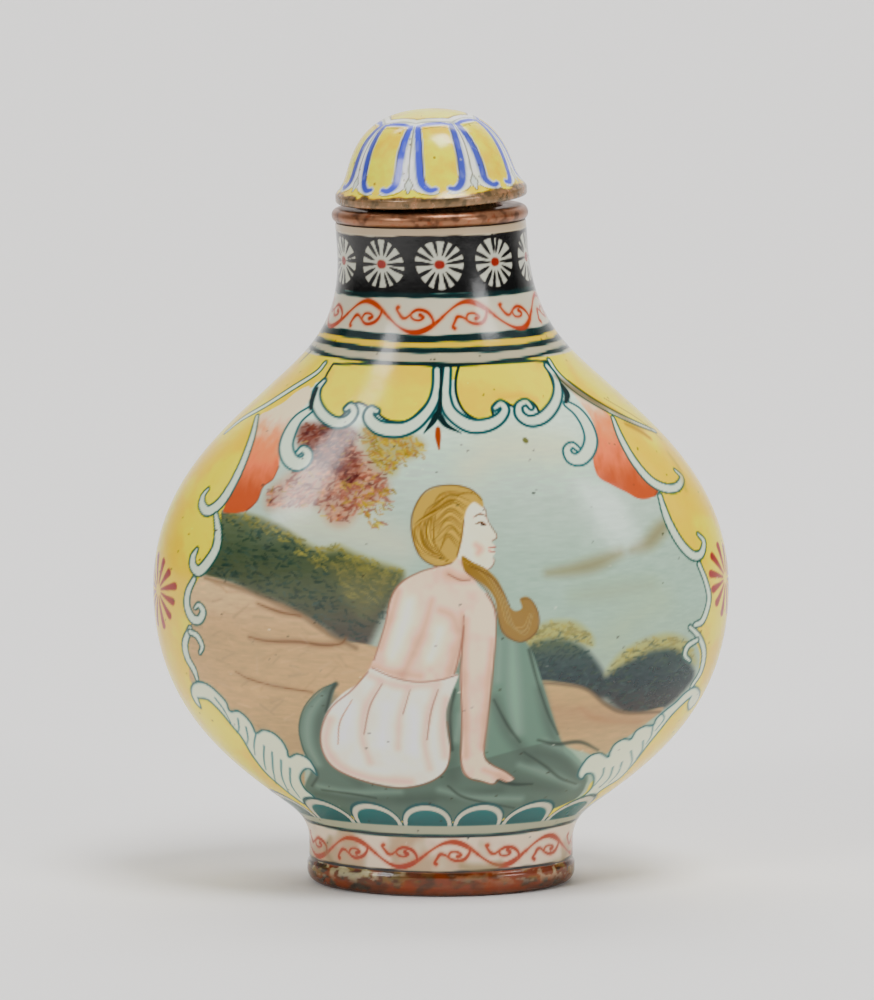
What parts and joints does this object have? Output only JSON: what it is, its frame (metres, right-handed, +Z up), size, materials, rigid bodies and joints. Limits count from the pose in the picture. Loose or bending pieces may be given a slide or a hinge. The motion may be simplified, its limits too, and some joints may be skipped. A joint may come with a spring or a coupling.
{
  "type": "snuff bottle",
  "caption": "Flattened round snuff bottle of painted enamel on copper, with a tall round neck, an oval foot and a domed stopper resting in its mouth.",
  "frame": {"origin": "centre of the bounding box at the underside, on the surface that the foot rests on", "axes": "+Z up, +X to the bottle's right as seen from the front, -Y to the painted front"},
  "size_m": [0.0446, 0.0244, 0.06],
  "materials": {
    "painted_enamel": "glossy fired enamel painted in many colours over copper, bare and worn at the lip and foot rim",
    "yellow_enamel": "glossy yellow, cobalt and white enamel over copper, worn to bare copper at the rim"
  },
  "bodies": {
    "root": {"flask": "painted_enamel", "stopper": "yellow_enamel"}
  },
  "joints": []
}
